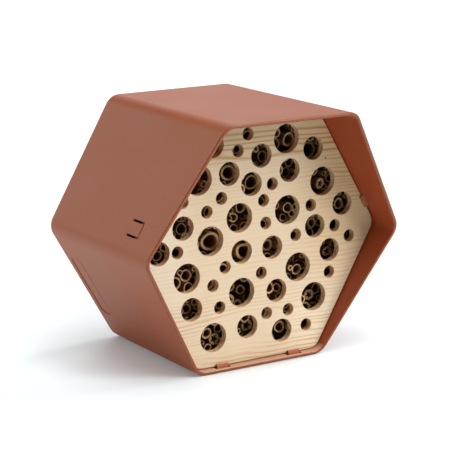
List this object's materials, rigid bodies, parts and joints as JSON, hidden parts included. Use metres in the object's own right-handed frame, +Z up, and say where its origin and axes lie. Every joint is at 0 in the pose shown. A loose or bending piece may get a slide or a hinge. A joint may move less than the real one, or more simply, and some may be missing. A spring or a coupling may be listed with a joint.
{
  "type": "insect hotel",
  "caption": "Six-sided moulded insect hotel with an overhanging slanted front, a drilled wooden front panel held by snap tongues, and hollow reeds behind it.",
  "frame": {"origin": "under the middle of the shell's bounding box, on the surface that the bottom wall stands on", "axes": "+Z up, -Y out of the open front, +X to the right as the front is seen"},
  "size_m": [0.2268, 0.176, 0.2],
  "materials": {
    "terracotta_plastic": "finely textured matte moulding",
    "pine": "planed, unvarnished",
    "reed": "raw sawn ends",
    "bamboo": "raw sawn ends"
  },
  "bodies": {
    "shell": {"shell": "terracotta_plastic", "bamboo_tube_06": "bamboo", "bamboo_tube_13": "bamboo", "bamboo_tube_15": "bamboo", "bamboo_tube_22": "bamboo", "bamboo_tube_29": "bamboo", "bamboo_tube_31": "bamboo", "bamboo_tube_38": "bamboo", "bamboo_tube_45": "bamboo", "bamboo_tube_47": "bamboo", "reed_01": "reed", "reed_02": "reed", "reed_03": "reed", "reed_04": "reed", "reed_05": "reed", "reed_07": "reed", "reed_08": "reed", "reed_09": "reed", "reed_10": "reed", "reed_11": "reed", "reed_12": "reed", "reed_14": "reed", "reed_16": "reed", "reed_17": "reed", "reed_18": "reed", "reed_19": "reed", "reed_20": "reed", "reed_21": "reed", "reed_23": "reed", "reed_24": "reed", "reed_25": "reed", "reed_26": "reed", "reed_27": "reed", "reed_28": "reed", "reed_30": "reed", "reed_32": "reed", "reed_33": "reed", "reed_34": "reed", "reed_35": "reed", "reed_36": "reed", "reed_37": "reed", "reed_39": "reed", "reed_40": "reed", "reed_41": "reed", "reed_42": "reed", "reed_43": "reed", "reed_44": "reed", "reed_46": "reed", "reed_48": "reed", "reed_49": "reed"},
    "front_panel": {"front_panel": "pine"},
    "snap_tongue_bottom_left": {"snap_tongue_bottom_left": "terracotta_plastic"},
    "snap_tongue_bottom_right": {"snap_tongue_bottom_right": "terracotta_plastic"},
    "snap_tongue_left": {"snap_tongue_left": "terracotta_plastic"},
    "snap_tongue_right": {"snap_tongue_right": "terracotta_plastic"}
  },
  "joints": [
    {"name": "panel_slide", "type": "slide", "parent": "shell", "child": "front_panel", "axis": [0, -1, 0], "range_m": [0, 0.06], "deforming": ["snap_tongue_left", "snap_tongue_right", "snap_tongue_bottom_left", "snap_tongue_bottom_right"]},
    {"name": "tongue_left_bend", "type": "hinge", "parent": "shell", "child": "snap_tongue_left", "pos_m": [-0.1041, -0.0254, 0.11969], "axis": [-0.5, 0, -0.866], "range_deg": [0, 12], "stiffness_Nm_per_rad": 0.5, "deforming": ["snap_tongue_left"]},
    {"name": "tongue_right_bend", "type": "hinge", "parent": "shell", "child": "snap_tongue_right", "pos_m": [0.1041, -0.0254, 0.11969], "axis": [-0.5, 0, 0.866], "range_deg": [0, 12], "stiffness_Nm_per_rad": 0.5, "deforming": ["snap_tongue_right"]},
    {"name": "tongue_bottom_left_bend", "type": "hinge", "parent": "shell", "child": "snap_tongue_bottom_left", "pos_m": [-0.033, -0.0254, 0], "axis": [1, 0, 0], "range_deg": [0, 12], "stiffness_Nm_per_rad": 0.5, "deforming": ["snap_tongue_bottom_left"]},
    {"name": "tongue_bottom_right_bend", "type": "hinge", "parent": "shell", "child": "snap_tongue_bottom_right", "pos_m": [0.033, -0.0254, 0], "axis": [1, 0, 0], "range_deg": [0, 12], "stiffness_Nm_per_rad": 0.5, "deforming": ["snap_tongue_bottom_right"]}
  ]
}
